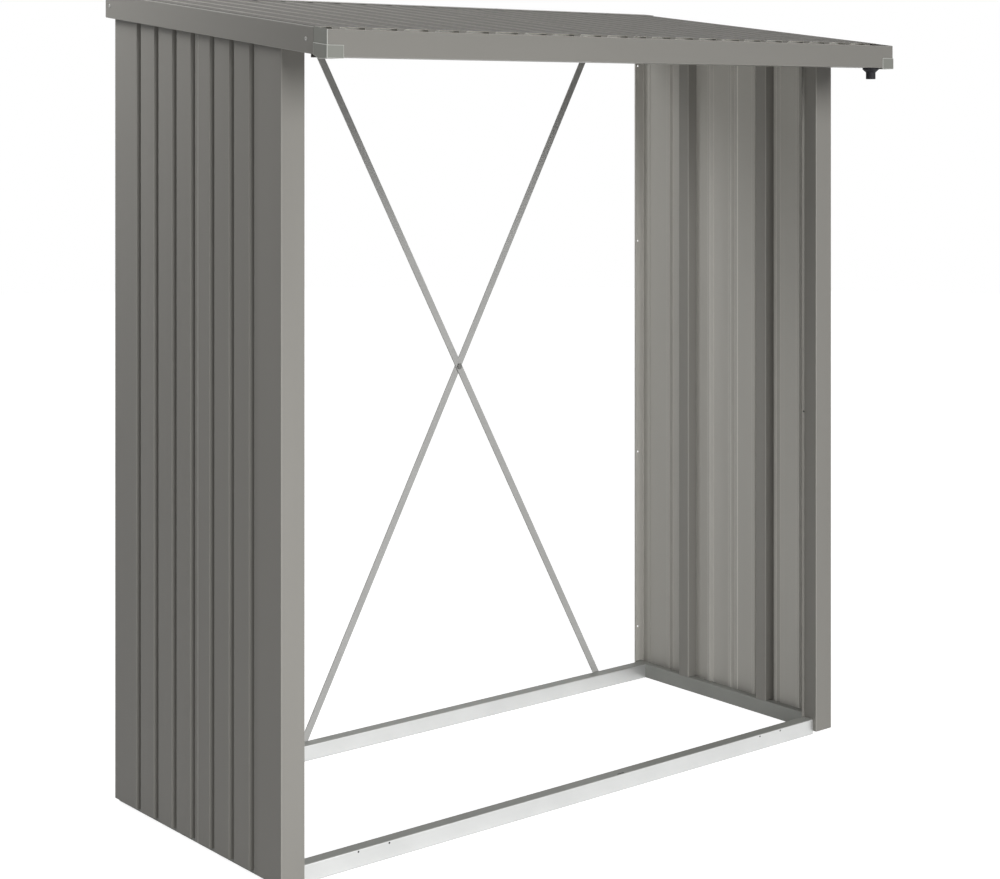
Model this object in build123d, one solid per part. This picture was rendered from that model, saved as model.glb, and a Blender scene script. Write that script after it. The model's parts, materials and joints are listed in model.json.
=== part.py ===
from build123d import *
import math
import os

# Open log store of folded sheet steel, in millimetres.
# X runs along the front from left to right, Y from the front to the back, Z up.
# The origin is under the middle of the store, on the floor.

# Overall sizes
body_width = 1792.0        # over the outer faces of the posts
body_depth = 744.0         # post front to the walls' rear edges
front_height = 1873.0      # floor to the gutter's top edge
roof_angle = 6.9           # degrees, falling to the front
side_overhang = 17.0       # roof past each post
front_overhang = 200.0     # gutter front past the post fronts
rear_overhang = 14.0       # roof past the walls' rear edges
floor_gap = 10.0           # posts and walls stop above the floor

# Base rails and top rails, lipped channels open downwards
rail_gauge = 1.5
rail_height = 41.0
rail_width = 35.0          # rails along the front and the back
side_rail_width = 25.0     # rails along the walls
rail_lip = 8.0
rail_setback = 12.0        # front rails behind the post fronts
rear_rail_setback = 10.0   # rear rails ahead of the walls' rear edges

# Posts
post_gauge = 1.5
post_face = 62.0
post_side = 97.0
post_return = 44.0
post_lip = 8.0
rear_post_leg = 30.0
rear_post_flange = 41.0    # inner edge to the post's outer face
rear_post_lip = 7.0
rear_hole_radius = 3.0
rear_hole_inset = 27.0     # hole line to the outer face of the posts
rear_hole_heights = (144.0, 671.0, 1307.0, 1834.0)

# Grooved sheets of the walls and the roof
sheet_gauge = 0.8
sheet_bend = 2.6           # outer radius of a rolled bend
groove_mouth = 22.0
groove_floor = 10.0
groove_depth = 9.0
tongue_width = 8.0         # strip tucked under the next sheet
tongue_ramp = 3.0
seam_offset = 21.8         # seam to the nearest groove
wall_rear_margin = 116.0   # walls' rear edges to the nearest groove
wall_front_margin = 122.2  # post front to the nearest groove
wall_sheet_grooves = (4, 3)
right_sheet_shift = 8.2    # grooves of the right front wall sheet nearer to the post
post_cover = 18.0          # front wall sheet tucked behind the post
roof_left_margin = 59.0    # roof's left edge to the nearest groove
roof_right_margin = 42.0
roof_joint = 949.0         # roof's left edge to the joint in the middle of the roof
joint_margin = 30.0        # middle joint to the grooves beside it
roof_sheet_grooves = (4, 4, 3)  # in each half of the roof
roof_edge_inset = 5.5      # sheet edge inside the verge's face

# Studs on the inner side of each wall, open towards it
stud_width = 39.5
rib_room = 1.1             # foot of a rib to the stud's leg beside it
stud_ribs = (1, 5)         # ribs ahead of the front stud and inside the rear stud

# Trims round the roof, and the gutter
trim_height = 59.0
trim_gauge = 1.0
trim_lip = 8.0
verge_flange = 24.0
rear_trim_gauge = 1.5
rear_trim_flange = 40.0
gutter_gauge = 1.0
gutter_depth = 64.0
gutter_lip = 7.0
gutter_flange = 14.0
sheet_setback = 52.0       # gutter front to the roof sheets' front ends
joint_gap = 0.8            # open joint between cap and verge

# Moulded corner caps of the gutter
cap_gauge = 2.0
cap_side = 50.7
cap_front = 42.0
cap_band = 29.0            # height of the band above the cap's lower edge
cap_proud = 1.5
cap_drop = 3.0             # band below the gutter
cap_flat = 30.0            # level part of the band's lower edge
cap_under = 32.0           # reach of the band under the gutter

# Drain spout under the right end of the gutter
spout_inset = 58.0         # axis to the roof's right edge
spout_setback = 27.0       # axis to the gutter front
spout_radius = 12.7
spout_wall = 2.2
spout_flange_radius = 21.5
spout_flange = 4.0
spout_cone = 8.0
spout_length = 30.0        # below the gutter
spout_rise = 5.0           # stub through the gutter's floor
spout_round = 1.0

# Cross brace at the back
brace_width = 20.0
brace_gauge = 3.0
brace_left = 545.0         # fixing points to the left post's outer face
brace_right = 1598.0
brace_foot = 20.0          # floor to the lower fixing points
brace_header_drop = 20.0   # header top to the upper fixing points
brace_margin = 12.0        # bar past its fixing point
bolt_radius = 4.0
bolt_head_radius = 8.0
bolt_head = 4.5

# Clearances
fit = 0.2                  # between pieces that touch
hole_clearance = 0.3

# Places worked out from the sizes above
turn = math.radians(roof_angle)
slope = math.tan(turn)
slope_way = (0, math.cos(turn), math.sin(turn))
roof_half = body_width / 2 + side_overhang
roof_depth = front_overhang + body_depth + rear_overhang
total_depth = roof_depth + cap_proud
gutter_front = cap_proud - total_depth / 2
roof_rear = total_depth / 2
post_front = gutter_front + front_overhang
wall_rear = post_front + body_depth
tall = front_height + slope * roof_depth
gutter_underside = front_height - trim_height

outer = body_width / 2
return_plane = outer - post_face
wall_plane = outer - post_gauge - fit
rail_outer = wall_plane - groove_depth - sheet_gauge - fit
rail_inner = rail_outer - side_rail_width
front_rail_y = post_front + rail_setback
rear_rail_y = wall_rear - rear_rail_setback - rail_width
side_start = front_rail_y + rail_width + fit
side_end = wall_rear - post_gauge - 2 * fit

# Depths below the roof's reference plane, which holds the tops of the verges and the gutter
pan_face = -(fit + sheet_gauge)
under_verge = trim_gauge + fit
header_top = groove_depth + fit
stud_top = header_top + rail_height + fit


def folded(points, gauge, bend):
    """Section of a sheet folded along points, the gauge to the left, or to the right if negative."""
    ways = []
    for (x0, y0), (x1, y1) in zip(points, points[1:]):
        length = math.hypot(x1 - x0, y1 - y0)
        ways.append(((x1 - x0) / length, (y1 - y0) / length))
    far_points = []
    near_radii = []
    far_radii = []
    for i, (x, y) in enumerate(points):
        into = ways[max(i - 1, 0)]
        out = ways[min(i, len(ways) - 1)]
        share = gauge / (1 + into[0] * out[0] + into[1] * out[1])
        far_points.append((x - share * (into[1] + out[1]), y + share * (into[0] + out[0])))
        if 0 < i < len(points) - 1:
            outside = gauge * (into[0] * out[1] - into[1] * out[0]) > 0
            near_radii.append(bend if outside else bend - abs(gauge))
            far_radii.append(bend - abs(gauge) if outside else bend)
    with BuildSketch() as section:
        with BuildLine():
            near = FilletPolyline(*points, radius=near_radii)
            far = FilletPolyline(*far_points, radius=far_radii)
            Line(near @ 0, far @ 0)
            Line(near @ 1, far @ 1)
        make_face()
    return section.sketch


def channel(width, height):
    """Lipped channel with its open side on the first axis."""
    points = [
        (rail_lip, 0),
        (0, 0),
        (0, height),
        (width, height),
        (width, 0),
        (width - rail_lip, 0),
    ]
    return folded(points, -rail_gauge, 2 * rail_gauge)


def grooved(start, end, grooves, tongue_start=False, tongue_end=False):
    """Sheet along the first axis with its outer face at 0 and its grooves running to positive depths."""
    drop = sheet_gauge + fit
    points = [(start, 0)]
    if tongue_start:
        points = [(start, drop), (start + tongue_width, drop), (start + tongue_width + tongue_ramp, 0)]
    for centre in grooves:
        points += [
            (centre - groove_mouth / 2, 0),
            (centre - groove_floor / 2, groove_depth),
            (centre + groove_floor / 2, groove_depth),
            (centre + groove_mouth / 2, 0),
        ]
    if tongue_end:
        points += [(end - tongue_width - tongue_ramp, 0), (end - tongue_width, drop), (end, drop)]
    else:
        points.append((end, 0))
    return folded(points, sheet_gauge, sheet_bend)


def along(section, origin, across, way, length):
    """The section on a plane at origin, its first axis along across, run along way."""
    plane = Plane(origin=origin, x_dir=across, z_dir=way)
    return extrude(plane * section, amount=length, dir=plane.z_dir)


def block(x_span, y_span, z_span):
    """Box between two values on each axis."""
    spans = (x_span, y_span, z_span)
    centre = [(low + high) / 2 for low, high in spans]
    return Pos(*centre) * Box(*[high - low for low, high in spans])


def roof_z(y, below=0.0):
    """Height at y of a plane that lies below the roof's reference plane."""
    return front_height + slope * (y - gutter_front) - below / math.cos(turn)


def under_roof(solid, below):
    """The part of a solid that lies under such a plane."""
    cut = Plane(
        origin=(0, gutter_front, roof_z(gutter_front, below)),
        x_dir=(1, 0, 0),
        z_dir=(0, -math.sin(turn), math.cos(turn)),
    )
    return split(solid, bisect_by=cut, keep=Keep.BOTTOM)


def upright(section, x, below):
    """Section whose axes are Y and the way inwards, stood on the left side at x, from floor_gap up."""
    solid = along(section, (x, 0, tall), (0, 1, 0), (0, 0, -1), tall - floor_gap)
    return under_roof(solid, below)


parts = {}


def both_sides(name, solid):
    """Keep a left-hand piece and its mirror image on the right."""
    parts["left_" + name] = solid
    parts["right_" + name] = mirror(solid, about=Plane.YZ)


# Base rails, and the headers that repeat them under the roof
front_half = return_plane - fit
rear_half = rail_inner - fit
front_header_z = roof_z(front_rail_y, header_top) - rail_height
rear_header_z = roof_z(rear_rail_y, header_top) - rail_height


def cross_rail(half, y, z):
    """Rail along X between the two sides."""
    return along(channel(rail_width, rail_height), (-half, y, z), (0, 1, 0), (1, 0, 0), 2 * half)


parts["front_rail"] = cross_rail(front_half, front_rail_y, 0)
parts["rear_rail"] = cross_rail(rear_half, rear_rail_y, 0)
parts["front_header"] = cross_rail(front_half, front_rail_y, front_header_z)
parts["rear_header"] = cross_rail(rear_half, rear_rail_y, rear_header_z)

# Side rails on the floor, and sloped ones under the roof sheets
side_channel = channel(side_rail_width, rail_height)
side_length = side_end - side_start
both_sides("rail", along(side_channel, (-rail_inner, side_start, 0), (-1, 0, 0), (0, 1, 0), side_length))

sloped_start = side_start - rail_height
sloped_origin = (-rail_inner, sloped_start, roof_z(sloped_start, header_top + rail_height))
sloped_rail = along(side_channel, sloped_origin, (-1, 0, 0), slope_way, side_length + 3 * rail_height)
both_sides("top_rail", sloped_rail & block((-outer, 0), (side_start, side_end), (0, tall)))


# Front posts, folded round the corner, with a return and a lip that stops at the rails
def front_post():
    points = [
        (-outer, post_front + post_side),
        (-outer, post_front),
        (-return_plane, post_front),
        (-return_plane, post_front + post_return),
        (-return_plane + post_lip, post_front + post_return),
    ]
    section = folded(points, post_gauge, 2 * post_gauge)
    post = along(section, (0, 0, floor_gap), (1, 0, 0), (0, 0, 1), tall)
    lip_x = (-return_plane, -return_plane + 2 * post_lip)
    lip_y = (post_front + post_return - 2 * post_gauge, post_front + post_return + 2 * post_gauge)
    post -= block(lip_x, lip_y, (0, rail_height + fit))
    post -= block(lip_x, lip_y, (front_header_z - fit, 2 * tall))
    return under_roof(post, header_top)


both_sides("front_post", front_post())


# Rear posts, with a drilled flange across the back
def rear_post():
    x = -wall_plane + sheet_gauge + fit
    y = wall_rear - fit
    edge = -outer + rear_post_flange
    points = [(x, y - rear_post_leg), (x, y), (edge, y), (edge, y - rear_post_lip)]
    section = folded(points, -post_gauge, 2 * post_gauge)
    post = along(section, (0, 0, floor_gap), (1, 0, 0), (0, 0, 1), tall)
    for z in rear_hole_heights:
        hole = Plane(origin=(-outer + rear_hole_inset, y, z), z_dir=(0, 1, 0))
        post -= hole * Cylinder(rear_hole_radius, 4 * post_gauge)
    return under_roof(post, header_top)


both_sides("rear_post", rear_post())

# Wall sheets with upright grooves, the rear one lapped over the front one
wall_count = sum(wall_sheet_grooves)
wall_pitch = (body_depth - wall_rear_margin - wall_front_margin) / (wall_count - 1)
wall_grooves = [post_front + wall_front_margin + i * wall_pitch for i in range(wall_count)]
front_grooves = wall_grooves[:wall_sheet_grooves[1]]
rear_grooves = wall_grooves[wall_sheet_grooves[1]:]
wall_seam = rear_grooves[0] - seam_offset
front_sheet_start = post_front + post_side - post_cover

rear_sheet = grooved(wall_seam, wall_rear, rear_grooves)
both_sides("wall_rear_sheet", upright(rear_sheet, -wall_plane, under_verge))


def front_sheet(shift):
    grooves = [y - shift for y in front_grooves]
    section = grooved(front_sheet_start, wall_seam + tongue_width, grooves, tongue_end=True)
    return upright(section, -wall_plane, under_verge)


parts["left_wall_front_sheet"] = front_sheet(0)
parts["right_wall_front_sheet"] = mirror(front_sheet(right_sheet_shift), about=Plane.YZ)


# Studs between the side rails and the top rails, their legs reaching the wall's flats
def stud(start):
    depth = wall_plane - sheet_gauge - fit - rail_inner
    points = [(0, 0), (0, depth), (stud_width, depth), (stud_width, 0)]
    section = folded(points, -rail_gauge, 2 * rail_gauge)
    origin = (-rail_inner - depth, start, tall)
    solid = along(section, origin, (0, 1, 0), (0, 0, -1), tall - rail_height - fit)
    return under_roof(solid, stud_top)


past_rib = groove_mouth / 2 + rib_room
front_stud_start = wall_grooves[stud_ribs[0]] + past_rib
rear_stud_end = wall_grooves[stud_ribs[1]] + past_rib + rail_gauge
both_sides("rear_stud", stud(rear_stud_end - stud_width))
parts["left_front_stud"] = stud(front_stud_start)
parts["right_front_stud"] = mirror(stud(front_stud_start - right_sheet_shift), about=Plane.YZ)

# Roof sheets side by side, each tucked under the one on its left
sheet_front = gutter_front + sheet_setback
sheet_origin = (0, sheet_front, roof_z(sheet_front, pan_face))
sheet_back = roof_rear - rear_trim_gauge - fit - groove_depth * math.sin(turn)
sheet_length = (sheet_back - sheet_front) / math.cos(turn)
roof_edge = roof_half - roof_edge_inset
joint_x = -roof_half + roof_joint


def roof_sheets(groove_x, last_groove, end):
    """Sheets of one half, from the groove beside its left edge to the one beside its right edge."""
    pitch = (last_groove - groove_x) / (sum(roof_sheet_grooves) - 1)
    start = -roof_edge if end == joint_x else joint_x - tongue_width
    for count in roof_sheet_grooves:
        number = 1 + sum(name.startswith("roof_sheet") for name in parts)
        grooves = [groove_x + i * pitch for i in range(count)]
        groove_x = grooves[-1] + pitch
        seam = end if groove_x > last_groove + pitch / 2 else grooves[-1] + seam_offset
        section = grooved(start, seam, grooves, tongue_start=number > 1)
        parts["roof_sheet_%d" % number] = along(section, sheet_origin, (1, 0, 0), slope_way, sheet_length)
        start = seam - tongue_width


roof_sheets(-roof_half + roof_left_margin, joint_x - joint_margin, joint_x)
roof_sheets(joint_x + joint_margin, roof_half - roof_right_margin, roof_edge)


# Verges along the roof's sides, their flanges under the roof sheets
def verge():
    height = trim_height * math.cos(turn)
    points = [
        (-roof_half + verge_flange, 0),
        (-roof_half, 0),
        (-roof_half, height),
        (-roof_half + trim_lip, height),
    ]
    section = folded(points, -trim_gauge, 2 * trim_gauge)
    start = gutter_front - trim_height
    origin = (0, start, roof_z(start))
    trim = along(section, origin, (1, 0, 0), slope_way, roof_depth + 3 * trim_height)
    front = gutter_front + cap_side + joint_gap
    trim &= block((-roof_half, 0), (front, roof_rear), (0, 2 * tall))
    inside = (-roof_half + trim_gauge + fit, 0)
    past_gutter = (gutter_front, gutter_front + gutter_depth + fit)
    trim -= block(inside, past_gutter, (0, front_height - trim_height / 2))
    return trim - block(inside, (roof_rear - trim_lip - fit, 2 * roof_rear), (0, 2 * tall))


both_sides("verge", verge())


# Rear trim, lapped over the sheets' upper ends
def rear_trim():
    rise = pan_face - fit - rear_trim_gauge
    top = roof_z(roof_rear, rise)
    flange_start = roof_rear - rear_trim_flange
    points = [
        (flange_start, roof_z(flange_start, rise)),
        (roof_rear, top),
        (roof_rear, top - trim_height),
        (roof_rear - trim_lip, top - trim_height),
    ]
    half = roof_half - trim_gauge - fit
    section = folded(points, -rear_trim_gauge, 2 * rear_trim_gauge)
    return along(section, (-half, 0, 0), (0, 1, 0), (1, 0, 0), 2 * half)


parts["rear_trim"] = rear_trim()

# Box gutter, open at the top, drained at its right end
spout_x = roof_half - spout_inset
spout_y = gutter_front + spout_setback


def gutter():
    back = gutter_front + gutter_depth
    back_top = roof_z(back, header_top + gutter_gauge)
    points = [
        (gutter_front + gutter_lip, front_height),
        (gutter_front, front_height),
        (gutter_front, gutter_underside),
        (back, gutter_underside),
        (back, back_top),
        (back + gutter_flange, back_top + slope * gutter_flange),
    ]
    half = roof_half - cap_gauge - fit
    section = folded(points, gutter_gauge, 2 * gutter_gauge)
    channel_run = along(section, (-half, 0, 0), (0, 1, 0), (1, 0, 0), 2 * half)
    hole = Cylinder(spout_radius + hole_clearance, 4 * gutter_gauge)
    return channel_run - Pos(spout_x, spout_y, gutter_underside) * hole


parts["gutter"] = gutter()


# Moulded caps close the gutter's ends and carry a band round its lower corners
def gutter_cap():
    front = gutter_front
    side_z = slope * cap_side
    end_plate = Polygon(
        (front, gutter_underside),
        (front + cap_side, gutter_underside + side_z),
        (front + cap_side, front_height + side_z),
        (front, front_height),
        align=None,
    )
    cap = along(end_plate, (-roof_half, 0, 0), (0, 1, 0), (1, 0, 0), cap_gauge)
    low = gutter_underside - cap_drop
    band_top = low + cap_band
    band = Polygon(
        (front - cap_proud, low),
        (front + cap_flat, low),
        (front + cap_side, gutter_underside + side_z),
        (front + cap_side, band_top + side_z),
        (front - cap_proud, band_top - slope * cap_proud),
        align=None,
    )
    left = -roof_half - cap_proud
    cap += along(band, (left, 0, 0), (0, 1, 0), (1, 0, 0), cap_proud + cap_gauge)
    under = -roof_half + cap_under
    cap += block((left, -roof_half + cap_front), (front - cap_proud, front - fit), (low, band_top))
    cap += block((left, under), (front - cap_proud, front + cap_flat), (low, gutter_underside - fit))
    return cap


both_sides("gutter_cap", gutter_cap())


# Drain spout, a flanged tube with a stub through the gutter's floor
def drain_spout():
    bore = spout_radius - spout_wall
    flange_low = -fit - spout_flange
    with BuildSketch(Plane.XZ) as section:
        with BuildLine():
            Polyline(
                (bore, spout_rise),
                (spout_radius, spout_rise),
                (spout_radius, -fit),
                (spout_flange_radius, -fit),
                (spout_flange_radius, flange_low),
                (spout_radius, flange_low - spout_cone),
                (spout_radius, -spout_length + spout_round),
                (spout_radius - spout_round, -spout_length),
                (bore, -spout_length),
                close=True,
            )
        make_face()
    return Pos(spout_x, spout_y, gutter_underside) * revolve(section.sketch, axis=Axis.Z)


parts["drain_spout"] = drain_spout()

# Two flat bars crossed behind the rear rail and the rear header
brace_y = rear_rail_y + rail_width + fit
brace_top = rear_header_z + rail_height - brace_header_drop
left_x = -outer + brace_left
right_x = -outer + brace_right
middle_x = (left_x + right_x) / 2
middle_z = (brace_foot + brace_top) / 2


def brace_bar(low_x, high_x, y):
    """Flat bar between two fixing points, with a bolt hole in its middle."""
    run = math.hypot(high_x - low_x, brace_top - brace_foot)
    lean = math.degrees(math.atan2(high_x - low_x, brace_top - brace_foot))
    bar = Box(brace_width, brace_gauge, run + 2 * brace_margin)
    bar -= Rot(90, 0, 0) * Cylinder(bolt_radius + hole_clearance, 2 * brace_gauge)
    return Pos(middle_x, y + brace_gauge / 2, middle_z) * Rot(0, lean, 0) * bar


rear_bar_y = brace_y + brace_gauge + fit
parts["brace_bar_falling"] = brace_bar(right_x, left_x, brace_y)
parts["brace_bar_rising"] = brace_bar(left_x, right_x, rear_bar_y)


# Bolt through the crossing, hexagon head in front and nut behind
def brace_bolt():
    head_y = brace_y - fit
    nut_y = rear_bar_y + brace_gauge + fit
    hexagon = RegularPolygon(bolt_head_radius, 6)
    reach = nut_y - head_y + 2 * bolt_head
    bolt = along(Circle(bolt_radius), (middle_x, head_y - bolt_head, middle_z), (1, 0, 0), (0, 1, 0), reach)
    for start in (head_y - bolt_head, nut_y):
        bolt += along(hexagon, (middle_x, start, middle_z), (1, 0, 0), (0, 1, 0), bolt_head)
    return bolt


parts["brace_bolt"] = brace_bolt()

os.makedirs("parts", exist_ok=True)
for name, solid in parts.items():
    solid.label = name
    export_step(solid, "parts/" + name + ".step")
    print(name, round(solid.volume))
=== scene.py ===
import json
import math
import bmesh
import bpy
import numpy as np
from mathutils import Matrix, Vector


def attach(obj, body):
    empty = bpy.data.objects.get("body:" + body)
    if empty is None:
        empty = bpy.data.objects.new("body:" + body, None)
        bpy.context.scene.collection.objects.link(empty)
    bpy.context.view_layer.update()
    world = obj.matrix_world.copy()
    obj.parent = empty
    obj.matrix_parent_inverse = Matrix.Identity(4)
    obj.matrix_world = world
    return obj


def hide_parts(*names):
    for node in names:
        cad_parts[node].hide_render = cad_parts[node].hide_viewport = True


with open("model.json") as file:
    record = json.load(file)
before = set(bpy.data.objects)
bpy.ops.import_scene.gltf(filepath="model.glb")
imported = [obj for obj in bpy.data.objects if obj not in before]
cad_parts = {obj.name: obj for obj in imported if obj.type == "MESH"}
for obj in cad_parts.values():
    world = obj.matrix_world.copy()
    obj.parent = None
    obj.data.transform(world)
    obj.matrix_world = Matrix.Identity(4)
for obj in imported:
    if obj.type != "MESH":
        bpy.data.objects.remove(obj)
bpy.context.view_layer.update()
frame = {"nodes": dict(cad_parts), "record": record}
nodes = frame["nodes"]
print("frame loaded:", len(nodes), "nodes")


def linear(hexColour):
    # each sRGB channel c becomes ((c + 0.055) / 1.055) ** 2.4, or c / 12.92 near black
    c = np.array([int(hexColour[i:i + 2], 16) for i in (1, 3, 5)]) / 255
    return tuple(np.where(c <= 0.04045, c / 12.92, ((c + 0.055) / 1.055) ** 2.4)) + (1.0,)


def colours(look, first, second):
    return {6: linear(look[first]), 7: linear(look[second])}  # the two ends of a colour mix


def features(look, kind):
    # a noise whose features measure look[kind] millimetres
    return {"Scale": 1000.0 / look[kind], "Detail": look[kind + "Detail"]}


def ends(start, goal):
    # the range that comes in and the range that goes out
    return {"From Min": start[0], "From Max": start[1], "To Min": goal[0], "To Max": goal[1]}


def connect(tree, node, links):
    # a link's source is a socket, or a node for the first of its outputs that is in use
    for key, source in links.items():
        if isinstance(source, bpy.types.Node):
            source = next(output for output in source.outputs if output.enabled)
        tree.links.new(source, node.inputs[key])


def addNode(tree, kind, values=None, links=None, **settings):
    node = tree.nodes.new(kind)
    for key, value in settings.items():
        setattr(node, key, value)
    for key, value in (values or {}).items():
        node.inputs[key].default_value = value
    connect(tree, node, links or {})
    return node


def newMaterial(name, constants):
    # a Principled surface whose constant values stand on its own sockets
    material = bpy.data.materials.new(name)
    material.use_nodes = True
    tree = material.node_tree
    tree.nodes.clear()
    shader = addNode(tree, "ShaderNodeBsdfPrincipled", constants)
    addNode(tree, "ShaderNodeOutputMaterial", links={"Surface": shader})
    return material, tree, shader


def bendMask(tree, normal, middle, reach):
    # 1 where the largest part of the normal lies within reach of middle, which picks out the bends
    size = addNode(tree, "ShaderNodeVectorMath", links={0: normal}, operation="ABSOLUTE")
    parts = addNode(tree, "ShaderNodeSeparateXYZ", links={0: size}).outputs
    larger = addNode(tree, "ShaderNodeMath", links={0: parts["X"], 1: parts["Y"]}, operation="MAXIMUM")
    largest = addNode(tree, "ShaderNodeMath", links={0: larger, 1: parts["Z"]}, operation="MAXIMUM")
    return addNode(tree, "ShaderNodeMath", {1: middle, 2: reach}, {0: largest}, operation="COMPARE")


def reverseMask(tree, place, normal, reverse, below):
    # 1 on the reverse of a sheet. "down" looks at the normal's height. "inward" looks at the place's plan
    # vector times the normal, which is negative on faces that look at the middle of the store.
    if reverse == "down":
        side = addNode(tree, "ShaderNodeSeparateXYZ", links={0: normal}).outputs["Z"]
    else:
        plan = addNode(tree, "ShaderNodeVectorMath", {1: (1, 1, 0)}, {0: place}, operation="MULTIPLY")
        side = addNode(tree, "ShaderNodeVectorMath", links={0: plan, 1: normal}, operation="DOT_PRODUCT")
    return addNode(tree, "ShaderNodeMath", {1: below}, {0: side}, operation="LESS_THAN")


coatLook = {
    "pale": "#8f8d88", "deep": "#8a8883",          # the face coat's two shades
    "backPale": "#cac8c2", "backDeep": "#c4c2bc",  # the reverse coat's two shades
    "backBelow": -0.05,      # just under 0, so that a sheet's cut edges keep the face coat
    "cloud": 260.0,          # mm across a cloud of slightly different shade
    "cloudDetail": 4.0,
    "cloudEnds": (0.3, 0.7),
    "grain": 3.0,            # mm across a dimple of the orange peel, coarser than the real 1 mm to show
    "grainDetail": 2.0,
    "grainHeight": 0.00002,  # metres, as each height here
    "wave": 160.0,           # mm from one slack wave of thin sheet to the next
    "waveDetail": 1.0,
    "waveHeight": 0.0003,
    "rough": (0.3, 0.38),
    "ior": 1.5,
    "shine": 0.12,           # under the usual 0.5, because the satin coat mirrors little
    "bendHighlight": 1.3,          # times the coat's shade on bends: a painted highlight where the bends catch the light
    "bends": (0.6, 0.37),    # middle and reach of the normal's largest part on a square bend
}
grooveLook = dict(coatLook, bendHighlight=1.5, bends=(0.915, 0.055))  # a painted highlight only where a groove's wall meets its flats
# the studs' face coat painted paler than the coat they share: painted light
studPaintedLightLook = dict(coatLook, pale="#9b9994", deep="#96948f")
roofLook = dict(  # the face coat painted darker on the roof, a painted shade of its top; matt, with a painted highlight that makes the groove walls paler
    coatLook, pale="#7a7874", deep="#75736f", shine=0.03, bendHighlight=2.0, bends=(0.8, 0.17), rough=(0.5, 0.6),
)


def coatedSteel(name, look, stretch, reverse=None):
    # Polyester-coated steel sheet, roll-formed: a satin grey coat with faint clouds, a fine orange peel,
    # the slow waves of thin sheet that bend its shine, and a painted highlight that makes the bends paler.
    # The reverse of the sheet has a paler backing coat, on the side that reverse names.
    material, tree, shader = newMaterial(name, {"IOR": look["ior"], "Specular IOR Level": look["shine"]})
    coordinates = addNode(tree, "ShaderNodeTexCoord")
    place, normal = coordinates.outputs["Object"], coordinates.outputs["Normal"]
    drawn = addNode(tree, "ShaderNodeMapping", {"Scale": stretch}, {"Vector": place})
    cloud = addNode(tree, "ShaderNodeTexNoise", features(look, "cloud"), {"Vector": drawn})
    blend = addNode(tree, "ShaderNodeMapRange", ends(look["cloudEnds"], (0, 1)), {"Value": cloud})
    colour = addNode(tree, "ShaderNodeMix", colours(look, "deep", "pale"), {0: blend}, data_type="RGBA")
    if reverse:
        isBack = reverseMask(tree, place, normal, reverse, look["backBelow"])
        backing = colours(look, "backDeep", "backPale")
        back = addNode(tree, "ShaderNodeMix", backing, {0: blend}, data_type="RGBA")
        colour = addNode(tree, "ShaderNodeMix", links={0: isBack, 6: colour, 7: back}, data_type="RGBA")
    # bends painted paler: a painted highlight
    bends = bendMask(tree, normal, *look["bends"])
    bendHighlight = addNode(tree, "ShaderNodeMapRange", ends((0, 1), (1, look["bendHighlight"])), {"Value": bends})
    colour = addNode(tree, "ShaderNodeVectorMath", links={0: colour, "Scale": bendHighlight}, operation="SCALE")
    waves = addNode(tree, "ShaderNodeTexNoise", features(look, "wave"), {"Vector": drawn})
    slack = addNode(tree, "ShaderNodeBump", {"Distance": look["waveHeight"]}, {"Height": waves})
    dimples = addNode(tree, "ShaderNodeTexNoise", features(look, "grain"), {"Vector": place})
    links = {"Height": dimples, "Normal": slack}
    peel = addNode(tree, "ShaderNodeBump", {"Distance": look["grainHeight"]}, links)
    rough = addNode(tree, "ShaderNodeMapRange", ends((0, 1), look["rough"]), {"Value": cloud})
    connect(tree, shader, {"Base Color": colour, "Roughness": rough, "Normal": peel})
    return material


railLook = {
    "pale": "#d1d2d1", "deep": "#cbcccb",              # webs, painted bright: a painted reflection of the lit floor
    "flangePale": "#a2a39f", "flangeDeep": "#9a9b97",  # flanges and side rails, painted darker: painted shade
    "facing": (0.6, 0.9),    # from flange to web, by how far a face looks along the store's depth
    "cloud": 120.0,          # mm
    "cloudDetail": 3.0,
    "cloudEnds": (0.3, 0.7),
    "grain": 5.0,            # mm across a zinc crystal
    "grainDetail": 3.0,
    "grainHeight": 0.000004,
    "rough": (0.36, 0.44),
    "metal": 0.7,            # under 1 for the dull film of oxide on the zinc
    "flangeMetal": 0.1,
    "shine": 0.05,
}
barLook = dict(railLook, pale="#b0b0ae", deep="#a9a9a7", metal=0.05, rough=(0.5, 0.58))
boltLook = dict(railLook, pale="#8b8b88", deep="#7e7e7b", metal=0.8, shine=0.5)


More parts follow.
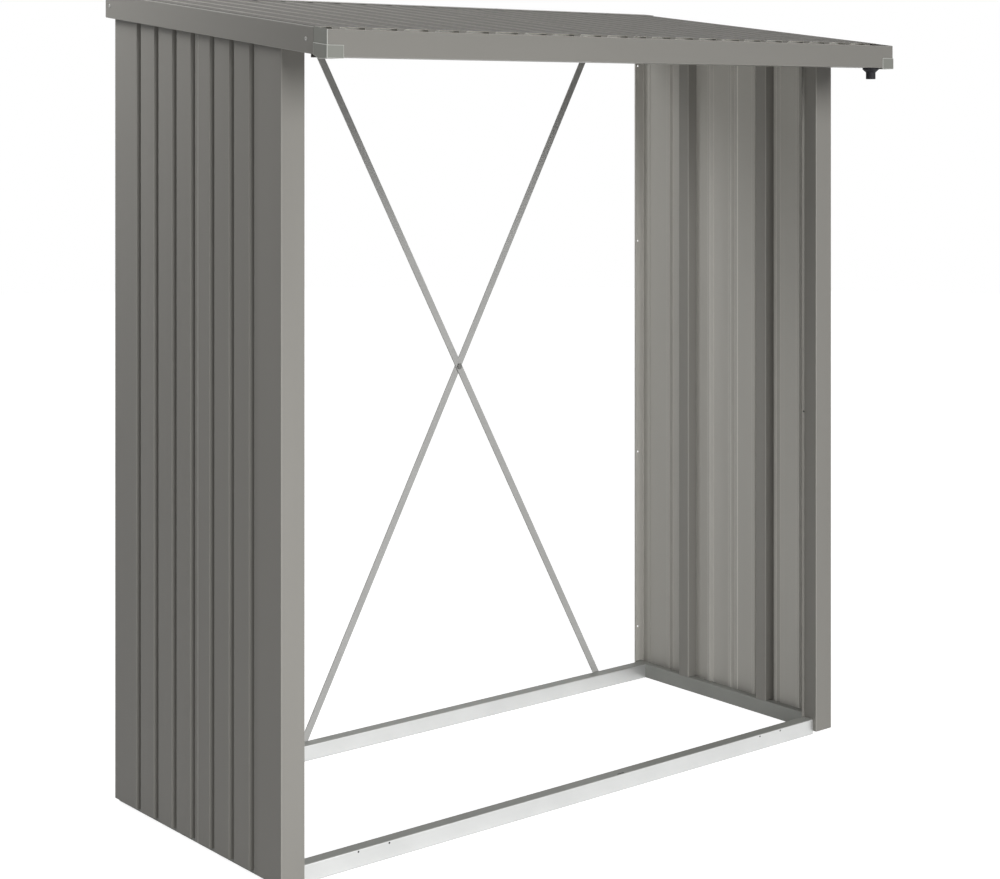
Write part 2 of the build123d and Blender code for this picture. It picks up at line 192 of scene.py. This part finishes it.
def zincSteel(name, look, paintsShadeAndReflection=False):
    # Galvanised steel strip, cold-rolled: a pale grey film of oxide over faint zinc crystals. Rails have a
    # painted reflection of the floor that makes their webs bright, and painted shade that makes their
    # flanges and side rails darker.
    constants = {"Metallic": look["metal"], "Specular IOR Level": look["shine"]}
    material, tree, shader = newMaterial(name, constants)
    coordinates = addNode(tree, "ShaderNodeTexCoord")
    place = coordinates.outputs["Object"]
    cloud = addNode(tree, "ShaderNodeTexNoise", features(look, "cloud"), {"Vector": place})
    blend = addNode(tree, "ShaderNodeMapRange", ends(look["cloudEnds"], (0, 1)), {"Value": cloud})
    colour = addNode(tree, "ShaderNodeMix", colours(look, "deep", "pale"), {0: blend}, data_type="RGBA")
    # webs painted brighter as a painted reflection, flanges and side rails painted darker as painted shade
    if paintsShadeAndReflection:
        parts = addNode(tree, "ShaderNodeSeparateXYZ", links={0: coordinates.outputs["Normal"]}).outputs
        facing = addNode(tree, "ShaderNodeMath", links={0: parts["Y"]}, operation="ABSOLUTE")
        isWeb = addNode(tree, "ShaderNodeMapRange", ends(look["facing"], (0, 1)), {"Value": facing})
        shadedFlange = colours(look, "flangeDeep", "flangePale")
        flange = addNode(tree, "ShaderNodeMix", shadedFlange, {0: blend}, data_type="RGBA")
        colour = addNode(tree, "ShaderNodeMix", links={0: isWeb, 6: flange, 7: colour}, data_type="RGBA")
        metals = ends(look["facing"], (look["flangeMetal"], look["metal"]))
        connect(tree, shader, {"Metallic": addNode(tree, "ShaderNodeMapRange", metals, {"Value": facing})})
    crystals = addNode(tree, "ShaderNodeTexNoise", features(look, "grain"), {"Vector": place})
    relief = addNode(tree, "ShaderNodeBump", {"Distance": look["grainHeight"]}, {"Height": crystals})
    rough = addNode(tree, "ShaderNodeMapRange", ends((0, 1), look["rough"]), {"Value": cloud})
    connect(tree, shader, {"Base Color": colour, "Roughness": rough, "Normal": relief})
    return material


capLook = {
    "pale": "#8e8f89", "deep": "#878882",
    "edge": "#cfd0cb",       # painted highlight on the edges
    "edges": (0.6, 0.37),    # middle and reach of the normal's largest part on a rounded edge
    "grain": 1.5,            # mm, coarser than the real 0.2 mm to show
    "grainDetail": 3.0,
    "grainHeight": 0.00003,
    "rough": (0.5, 0.6),
    "ior": 1.49,
    "shine": 0.2,
}
spoutLook = dict(capLook, pale="#26262a", deep="#1c1c1f", edge="#2c2c30")
# near-black discs for the insides of holes, which only hold shade: painted shade
holeShadeLook = dict(spoutLook, pale="#2b2b2c", deep="#222223")


def mouldedPlastic(name, look):
    # Injection-moulded plastic: even colour, a fine spark-eroded grain and a dull shine, with a painted
    # highlight that makes the edges paler.
    material, tree, shader = newMaterial(name, {"IOR": look["ior"], "Specular IOR Level": look["shine"]})
    coordinates = addNode(tree, "ShaderNodeTexCoord")
    place, normal = coordinates.outputs["Object"], coordinates.outputs["Normal"]
    grain = addNode(tree, "ShaderNodeTexNoise", features(look, "grain"), {"Vector": place})
    even = addNode(tree, "ShaderNodeMix", colours(look, "deep", "pale"), {0: grain}, data_type="RGBA")
    # edges painted paler: a painted highlight
    links = {0: bendMask(tree, normal, *look["edges"]), 6: even}
    colour = addNode(tree, "ShaderNodeMix", {7: linear(look["edge"])}, links, data_type="RGBA")
    relief = addNode(tree, "ShaderNodeBump", {"Distance": look["grainHeight"]}, {"Height": grain})
    rough = addNode(tree, "ShaderNodeMapRange", ends((0, 1), look["rough"]), {"Value": grain})
    connect(tree, shader, {"Base Color": colour, "Roughness": rough, "Normal": relief})
    return material


# Clouds and waves are drawn out along the rolled length of the sheet
alongHeight = (1.0, 1.0, 0.15)
alongFall = (1.0, 0.2, 1.0)
alongTrim = (0.2, 0.2, 1.0)
wallCoat = coatedSteel("polyester_coated_steel_wall", grooveLook, alongHeight, "inward")
roofCoat = coatedSteel("polyester_coated_steel_roof", roofLook, alongFall, "down")
postCoat = coatedSteel("polyester_coated_steel_post", coatLook, alongHeight)
studCoat = coatedSteel("polyester_coated_steel_stud", studPaintedLightLook, alongHeight)
rearPostCoat = coatedSteel("polyester_coated_steel_rear_post", coatLook, alongHeight, "inward")
trimCoat = coatedSteel("polyester_coated_steel_trim", coatLook, alongTrim)
railZinc = zincSteel("galvanised_steel_rail", railLook, True)
barZinc = zincSteel("galvanised_steel_bar", barLook)
boltZinc = zincSteel("passivated_zinc_bolt", boltLook)
capPlastic = mouldedPlastic("moulded_polypropylene_cap", capLook)
spoutPlastic = mouldedPlastic("moulded_polypropylene_spout", spoutLook)
holeShadeCoat = mouldedPlastic("painted_hole_shade", holeShadeLook)

coats = {
    "painted_sheet": wallCoat,
    "painted_post": postCoat,
    "painted_trim": trimCoat,
    "zinc_rail": railZinc,
    "zinc_bar": barZinc,
    "moulded_cap": capPlastic,
    "black_plastic": spoutPlastic,
    "bolt_steel": boltZinc,
}
slotOf = {part["node"]: part["material_slot"] for part in frame["record"]["subparts"]}
for name, node in nodes.items():
    coat = coats[slotOf[name]]
    if name.startswith("roof_sheet"):
        coat = roofCoat
    elif name.endswith("rear_post"):
        coat = rearPostCoat
    elif name.endswith("stud"):
        coat = studCoat
    node.data.materials.clear()
    node.data.materials.append(coat)
print("materials set")


def newPiece(name, mesh, coat):
    piece = bpy.data.objects.new(name, mesh)
    bpy.context.scene.collection.objects.link(piece)
    mesh.materials.append(coat)
    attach(piece, "root")
    return piece


# Gutter caps with the softly rounded edges of a moulding
capEdge = {  # metres
    "merge": 0.0003, "radius": 0.0012, "steps": 3,
    "flat": 1.0,                                    # degrees, under which two faces become one
    "side": 0.9144, "front": -0.4797,               # edges past these planes are the band's outer ones
    "upperSide": 0.9129, "upperFront": -0.4781,     # past both is the corner above the band
}
for side in ("left", "right"):
    name = side + "_gutter_cap"
    mesh = nodes[name].data.copy()
    work = bmesh.new()
    work.from_mesh(mesh)
    bmesh.ops.remove_doubles(work, verts=work.verts, dist=capEdge["merge"])
    flat = math.radians(capEdge["flat"])
    bmesh.ops.dissolve_limit(work, angle_limit=flat, verts=work.verts, edges=work.edges)
    bmesh.ops.recalc_face_normals(work, faces=work.faces)
    weight = work.edges.layers.float.new("bevel_weight_edge")
    for edge in work.edges:
        tips = [v.co for v in edge.verts]
        onSide = all(abs(tip.x) > capEdge["side"] for tip in tips)
        onFront = all(tip.y < capEdge["front"] for tip in tips)
        above = all(abs(tip.x) > capEdge["upperSide"] and tip.y < capEdge["upperFront"] for tip in tips)
        edge[weight] = float(onSide or onFront or above)
    work.to_mesh(mesh)
    work.free()
    mesh.materials.clear()
    piece = newPiece(side + "_moulded_cap", mesh, capPlastic)
    rounding = piece.modifiers.new("edges", "BEVEL")
    rounding.width = capEdge["radius"]
    rounding.segments = capEdge["steps"]
    rounding.limit_method = "WEIGHT"
    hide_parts(name)
print("gutter caps rounded")


def boxOf(name):
    # the lowest and the highest corner of a solid's box, in millimetres
    vertices = nodes[name].data.vertices
    points = np.empty(len(vertices) * 3, np.float32)
    vertices.foreach_get("co", points)
    points = points.reshape(-1, 3).astype(float) * 1000
    return points.min(0), points.max(0)


def polarGrid(look):
    # rings of points (r, a) from the middle of a disc to its radius, and the quads between them
    count = look["around"]
    r = look["radius"] * np.linspace(0, 1, look["rings"])[:, None]
    a = np.linspace(0, 2 * math.pi, count, endpoint=False)[None, :] + look["start"]
    i, j = np.meshgrid(np.arange(look["rings"] - 1), np.arange(count), indexing="ij")
    k = (j + 1) % count
    faces = np.stack([i * count + j, (i + 1) * count + j, (i + 1) * count + k, i * count + k], -1)
    return r, a, faces.reshape(-1, 4)


def panHead(look):
    # Over the disc the height is h * (1 - (r / R) ** 6) ** (1 / 3). It is lowered by the cross depth where
    # either |x| or |y| is under half the cross width and r is under the cross's reach.
    r, a, faces = polarGrid(look)
    x, y = r * np.cos(a), r * np.sin(a)
    z = look["height"] * np.cbrt(np.clip(1 - (r / look["radius"]) ** 6, 0, 1)) + 0 * a
    thin = np.minimum(np.abs(x), np.abs(y)) < look["crossWidth"] / 2
    z = z - look["crossDepth"] * (thin & (r < look["cross"]))
    return np.stack([x, y, z], -1).reshape(-1, 3), faces


def lowDisc(look):
    # A disc whose rim rounds down: the height is h * sqrt(1 - (r / R) ** 4). Its halves with x over 0 and
    # under 0 stand apart by the length, which draws the disc into a slot.
    r, a, faces = polarGrid(look)
    x, y = r * np.cos(a), r * np.sin(a)
    z = look["height"] * np.sqrt(np.clip(1 - (r / look["radius"]) ** 4, 0, 1)) + 0 * a
    x = x + np.sign(x) * look["length"] / 2
    return np.stack([x, y, z], -1).reshape(-1, 3), faces


def onSurface(points, place, outward, along):
    # local x, y, z become along, outward x along, and outward, moved to place, millimetres to metres
    out = np.array(outward) / np.linalg.norm(outward)
    first = np.array(along) / np.linalg.norm(along)
    turned = points @ np.stack([first, np.cross(out, first), out])
    return (turned + np.array(place)) / 1000


pointMerge = 0.00001  # metres, which closes the middle of each disc


def copies(name, shape, places, coat):
    # the same shape stood on every place in one mesh
    points, faces = shape
    spots = [onSurface(points, *place) for place in places]
    quads = np.concatenate([faces + i * len(points) for i in range(len(places))])
    mesh = bpy.data.meshes.new(name)
    mesh.from_pydata(np.concatenate(spots).tolist(), [], quads.tolist())
    work = bmesh.new()
    work.from_mesh(mesh)
    bmesh.ops.remove_doubles(work, verts=work.verts, dist=pointMerge)
    work.to_mesh(mesh)
    work.free()
    mesh.polygons.foreach_set("use_smooth", [True] * len(mesh.polygons))
    return newPiece(name, mesh, coat)


# Screws in the verges, near both ends, and along the rear trim
trimScrews = {  # mm
    "radius": 5.0, "height": 1.3,
    "cross": 2.6, "crossWidth": 0.8, "crossDepth": 0.7,
    "rings": 14, "around": 48, "start": 0.0,
    "verge": ((-399.0, 1854.0), (459.7, 1957.0)),    # y and z on both sides
    "leftTurn": 0.4, "rightTurn": 0.3,               # rise of the cross over its run
    "trimX": (48.0, 308.0, 735.0), "trimY": 452.0,
    "fall": 6.9,                                     # degrees of the roof
}
vergeSide = boxOf("left_verge")[0][0]
screws = []
for y, z in trimScrews["verge"]:
    screws.append(((vergeSide, y, z), (-1, 0, 0), (0, 1, trimScrews["leftTurn"])))
    screws.append(((-vergeSide, y, z), (1, 0, 0), (0, 1, trimScrews["rightTurn"])))
fall = math.radians(trimScrews["fall"])
trimHigh = boxOf("rear_trim")[1]
trimTop = trimHigh[2] - math.tan(fall) * (trimHigh[1] - trimScrews["trimY"])
for x in trimScrews["trimX"]:
    screws.append(((x, trimScrews["trimY"], trimTop), (0, -math.sin(fall), math.cos(fall)), (1, 0, 0)))
copies("trim_screws", panHead(trimScrews), screws, boltZinc)
print("screws set:", len(screws))

# Dark discs in the front rail's web and in the right post's return, and a dark slot on top of the rail:
# painted shade standing for open holes and an open slot
railHoleShades = {  # mm
    "radius": 2.4, "height": 0.5, "length": 0.0,
    "rings": 6, "around": 24, "start": 0.01,         # the start keeps every point off x = 0
    "x": (-682.0, -596.0, 625.0, 704.0), "z": 36.0,
    "returnY": -240.0, "returnZ": 878.0,
}
slotShade = {  # mm
    "radius": 1.6, "height": 0.3, "length": 20.0,
    "rings": 5, "around": 24, "start": 0.01,
    "x": 126.0, "inset": 6.0,                        # along the rail, and back from its front
}
railLow, railHigh = boxOf("front_rail")
returnSide = boxOf("right_front_post")[0][0]
holeShades = [((x, railLow[1], railHoleShades["z"]), (0, -1, 0), (1, 0, 0)) for x in railHoleShades["x"]]
holeShades.append(((returnSide, railHoleShades["returnY"], railHoleShades["returnZ"]), (-1, 0, 0), (0, 1, 0)))
copies("rail_hole_shades", lowDisc(railHoleShades), holeShades, holeShadeCoat)
slots = [((slotShade["x"], railLow[1] + slotShade["inset"], railHigh[2]), (0, 0, 1), (1, 0, 0))]
copies("rail_slot_shade", lowDisc(slotShade), slots, holeShadeCoat)
print("plugs set:", len(holeShades) + len(slots))

cameraLook = {  # level, with the shift that puts the horizon where the photograph has it
    "place": (-3.3058, -3.9564, 1.706),
    "turn": 39.44,           # degrees to the right of +Y
    "lens": 72.37, "sensor": 36.0, "shift": -0.331,
}
camera = bpy.data.objects.new("camera", bpy.data.cameras.new("camera"))
bpy.context.scene.collection.objects.link(camera)
camera.location = cameraLook["place"]
camera.rotation_euler = (math.radians(90), 0, math.radians(-cameraLook["turn"]))
camera.data.sensor_fit = "HORIZONTAL"
camera.data.sensor_width = cameraLook["sensor"]
camera.data.lens = cameraLook["lens"]
camera.data.shift_y = cameraLook["shift"]
bpy.context.scene.camera = camera


def seenRays(tree):
    # 1 for camera, glossy and transmission rays, so that metal and glass show the white studio too
    rays = addNode(tree, "ShaderNodeLightPath").outputs
    links = {0: rays["Is Camera Ray"], 1: rays["Is Glossy Ray"]}
    seen = addNode(tree, "ShaderNodeMath", links=links, operation="MAXIMUM")
    links = {0: seen, 1: rays["Is Transmission Ray"]}
    return addNode(tree, "ShaderNodeMath", links=links, operation="MAXIMUM")


def grey(value):
    return (value, value, value, 1.0)


# Matt white paper, which glows for the rays that see it and still takes the shadow
floorLook = {"radius": 14.0, "around": 96, "drop": 0.0005, "matt": 0.75, "seenMatt": 0.4, "glow": 0.92}
angles = np.linspace(0, 2 * math.pi, floorLook["around"], endpoint=False)
rim = np.stack([np.cos(angles), np.sin(angles), 0 * angles], 1) * floorLook["radius"]
floorMesh = bpy.data.meshes.new("floor")
floorMesh.from_pydata(rim.tolist(), [], [list(range(len(rim)))])
floor = bpy.data.objects.new("floor", floorMesh)
bpy.context.scene.collection.objects.link(floor)
floor.location.z = -floorLook["drop"]
floorMaterial = bpy.data.materials.new("matt_white_floor")
floorMaterial.use_nodes = True
tree = floorMaterial.node_tree
tree.nodes.clear()
matt = addNode(tree, "ShaderNodeBsdfDiffuse", {"Color": grey(floorLook["matt"])})
seenMatt = addNode(tree, "ShaderNodeBsdfDiffuse", {"Color": grey(floorLook["seenMatt"])})
glow = addNode(tree, "ShaderNodeEmission", {"Color": grey(1.0), "Strength": floorLook["glow"]})
white = addNode(tree, "ShaderNodeAddShader", links={0: seenMatt, 1: glow})
mixed = addNode(tree, "ShaderNodeMixShader", links={0: seenRays(tree), 1: matt, 2: white})
addNode(tree, "ShaderNodeOutputMaterial", links={"Surface": mixed})
floorMesh.materials.append(floorMaterial)

worldLook = {"fill": 0.03, "white": 1.0}
world = bpy.data.worlds.new("studio")
bpy.context.scene.world = world
world.use_nodes = True
tree = world.node_tree
tree.nodes.clear()
fill = addNode(tree, "ShaderNodeBackground", {"Color": grey(1.0), "Strength": worldLook["fill"]})
white = addNode(tree, "ShaderNodeBackground", {"Color": grey(1.0), "Strength": worldLook["white"]})
sky = addNode(tree, "ShaderNodeMixShader", links={0: seenRays(tree), 1: fill, 2: white})
addNode(tree, "ShaderNodeOutputWorld", links={"Surface": sky})

softLook = {  # wide far lights: heading from the front towards the right, height and width in degrees
    "front": {"heading": 0.0, "height": 20.0, "width": 35.0, "power": 2.26},
    "back": {"heading": 180.0, "height": 15.0, "width": 35.0, "power": 0.3},
    "left": {"heading": -110.0, "height": 25.0, "width": 35.0, "power": 0.1},
    "right": {"heading": 100.0, "height": 10.0, "width": 35.0, "power": 0.9},
}
softAway = 6.0  # metres from the middle, which changes only where a far light is drawn
panelLook = {  # square panels, metres and watts
    "leftHigh": {"place": (-1.8, 1.2, 2.8), "aim": (-0.9, 0.3, 1.5), "size": 0.8, "power": 21.0},
    "leftPost": {"place": (-1.3, -1.7, 1.0), "aim": (-0.87, -0.28, 1.0), "size": 0.8, "power": 7.4},
    "opening": {"place": (-0.6, -1.7, 0.35), "aim": (0.87, 0.3, 0.2), "size": 0.6, "power": 3.0},
}


def hangLamp(name, lamp, place, toLight):
    holder = bpy.data.objects.new(name, lamp)
    bpy.context.scene.collection.objects.link(holder)
    holder.location = place
    holder.rotation_euler = toLight.to_track_quat("Z", "Y").to_euler()


for name, look in softLook.items():
    lamp = bpy.data.lights.new(name, "SUN")
    lamp.energy = look["power"]
    lamp.angle = math.radians(look["width"])
    heading, height = math.radians(look["heading"]), math.radians(look["height"])
    run = math.cos(height)
    toLight = Vector((math.sin(heading) * run, -math.cos(heading) * run, math.sin(height)))
    hangLamp(name, lamp, toLight * softAway, toLight)
for name, look in panelLook.items():
    lamp = bpy.data.lights.new(name, "AREA")
    lamp.energy = look["power"]
    lamp.size = look["size"]
    hangLamp(name, lamp, look["place"], Vector(look["place"]) - Vector(look["aim"]))
bpy.context.scene.view_settings.view_transform = "Standard"
print("camera, floor and light set")
